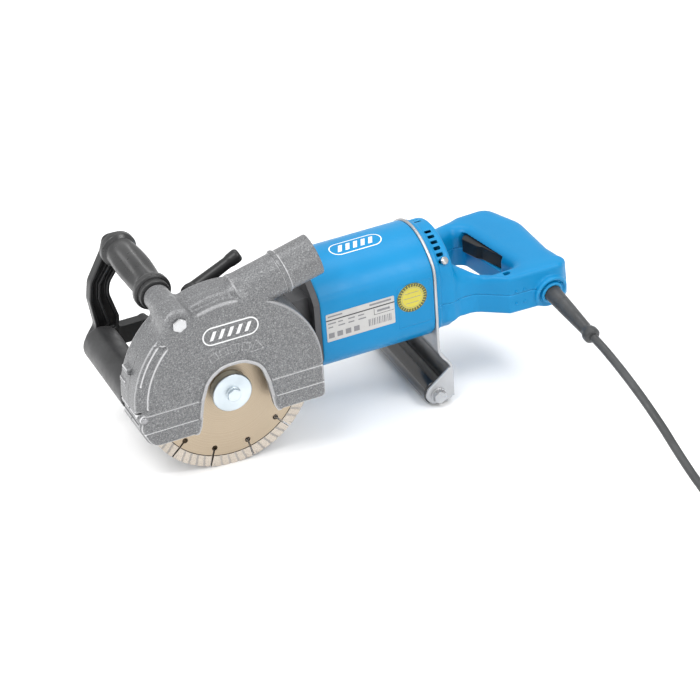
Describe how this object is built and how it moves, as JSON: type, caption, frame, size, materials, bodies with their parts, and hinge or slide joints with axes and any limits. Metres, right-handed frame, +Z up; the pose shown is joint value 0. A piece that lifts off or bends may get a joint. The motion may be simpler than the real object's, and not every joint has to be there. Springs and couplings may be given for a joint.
{
  "type": "wall chaser",
  "caption": "Corded wall chaser with two diamond blades under a swivelling cast guard, a dust port, front grip, rollers and a D-handle with trigger.",
  "frame": {"origin": "middle of the tool's outline on the floor it stands on, cord not counted", "axes": "+X towards the D-handle, -Y the blade side, +Z up; the tool stands on its blades and rear roller"},
  "size_m": [0.6658, 0.649, 0.239],
  "materials": {
    "blue_plastic": "satin moulded polyamide",
    "black_casting": "satin black paint on cast aluminium",
    "hammertone": "grey hammertone paint on cast aluminium",
    "dark_steel": "oiled machined steel",
    "laminations": "stacked electrical steel",
    "copper_winding": "lacquered copper wire",
    "copper_bars": "turned copper",
    "black_plastic": "moulded glass-filled polyamide",
    "brass_holder": "pressed brass",
    "carbon": "pressed carbon",
    "zinc_plate": "bright zinc-plated sheet steel",
    "zinc_steel": "zinc-plated steel",
    "black_rubber": "moulded rubber",
    "grey_rubber": "dark grey rubber",
    "gloss_roller": "polished black plastic tube",
    "label_white": "printed film",
    "label_yellow": "printed film",
    "blade_steel": "gold-toned steel core with a sintered diamond rim",
    "white_zinc": "white zinc-plated steel",
    "cord_rubber": "rubber sheath"
  },
  "bodies": {
    "machine": {"motor_housing": "blue_plastic", "gear_case": "black_casting", "gear_cover": "black_casting", "swivel_ring": "zinc_steel", "stator_pack": "laminations", "field_windings": "copper_winding", "armature_bearings": "dark_steel", "layshaft_bearings": "dark_steel", "spindle_bearings": "dark_steel", "brush_holders": "brass_holder", "carbon_brushes": "carbon", "air_baffle": "black_plastic", "rear_plate": "zinc_plate", "handle_lower": "blue_plastic", "handle_upper": "blue_plastic", "handle_screws": "zinc_steel", "switch_body": "black_plastic", "gland_bush": "black_rubber", "cable_sleeve": "grey_rubber", "rear_axle_bolt": "zinc_steel", "case_screws": "zinc_steel", "rating_plate": "label_white", "round_badge": "label_yellow", "trigger_pin": "zinc_steel", "mains_cord": "cord_rubber", "cord_coil": "cord_rubber", "cord_tail": "cord_rubber", "mains_plug": "black_rubber"},
    "armature": {"armature_shaft": "dark_steel", "armature_core": "laminations", "armature_windings": "copper_winding", "commutator": "copper_bars", "fan": "black_plastic", "bevel_pinion": "dark_steel"},
    "layshaft": {"layshaft": "dark_steel", "bevel_wheel": "dark_steel", "spur_pinion": "dark_steel"},
    "spindle": {"spindle": "dark_steel", "spindle_gear": "dark_steel", "inner_flange": "zinc_steel", "spacer_rings": "zinc_steel", "inner_blade": "blade_steel", "outer_blade": "blade_steel", "outer_flange": "white_zinc", "blade_bolt": "white_zinc"},
    "guard": {"guard_rear_shell": "hammertone", "guard_front_cover": "hammertone", "dust_port": "hammertone", "guard_screws": "zinc_steel", "handle_rod": "zinc_steel", "front_grip": "black_rubber", "front_frame": "black_plastic", "front_axle_bolt": "zinc_steel", "clamp_bolt": "zinc_steel"},
    "front_roller": {"front_roller": "grey_rubber"},
    "rear_roller": {"rear_roller": "gloss_roller"},
    "clamp_lever": {"clamp_lever": "black_plastic"},
    "trigger": {"trigger": "black_plastic"}
  },
  "joints": [
    {"name": "spindle_spin", "type": "hinge", "parent": "machine", "child": "spindle", "pos_m": [-0.139, -0.068, 0.09], "axis": [0, 1, 0], "continuous": true},
    {"name": "layshaft_spin", "type": "hinge", "parent": "machine", "child": "layshaft", "pos_m": [-0.1051, -0.008, 0.11479], "axis": [0, 1, 0], "continuous": true},
    {"name": "armature_spin", "type": "hinge", "parent": "machine", "child": "armature", "pos_m": [0.00919, -0.008, 0.12234], "axis": [0.9978, 0, 0.0659], "continuous": true},
    {"name": "guard_swing", "type": "hinge", "parent": "machine", "child": "guard", "pos_m": [-0.139, -0.048, 0.09], "axis": [0, -1, 0], "range_deg": [0, 55]},
    {"name": "front_roller_spin", "type": "hinge", "parent": "guard", "child": "front_roller", "pos_m": [-0.21863, 0.022, 0.08173], "axis": [0, 1, 0], "continuous": true},
    {"name": "rear_roller_spin", "type": "hinge", "parent": "machine", "child": "rear_roller", "pos_m": [0.09856, 0.012, 0.0135], "axis": [0, 1, 0], "continuous": true},
    {"name": "clamp_lever_turn", "type": "hinge", "parent": "guard", "child": "clamp_lever", "pos_m": [-0.15697, -0.008, 0.17615], "axis": [0, -1, 0], "range_deg": [0, 70]},
    {"name": "trigger_pull", "type": "hinge", "parent": "machine", "child": "trigger", "pos_m": [0.19688, -0.02, 0.13324], "axis": [0.0659, 0, -0.9978], "range_deg": [0, 10], "stiffness_Nm_per_rad": 2, "springref_deg": -8.59}
  ],
  "couplings": [
    {"joint": "layshaft_spin", "follows": "spindle_spin", "ratio": -2},
    {"joint": "armature_spin", "follows": "spindle_spin", "ratio": 3.0769}
  ]
}
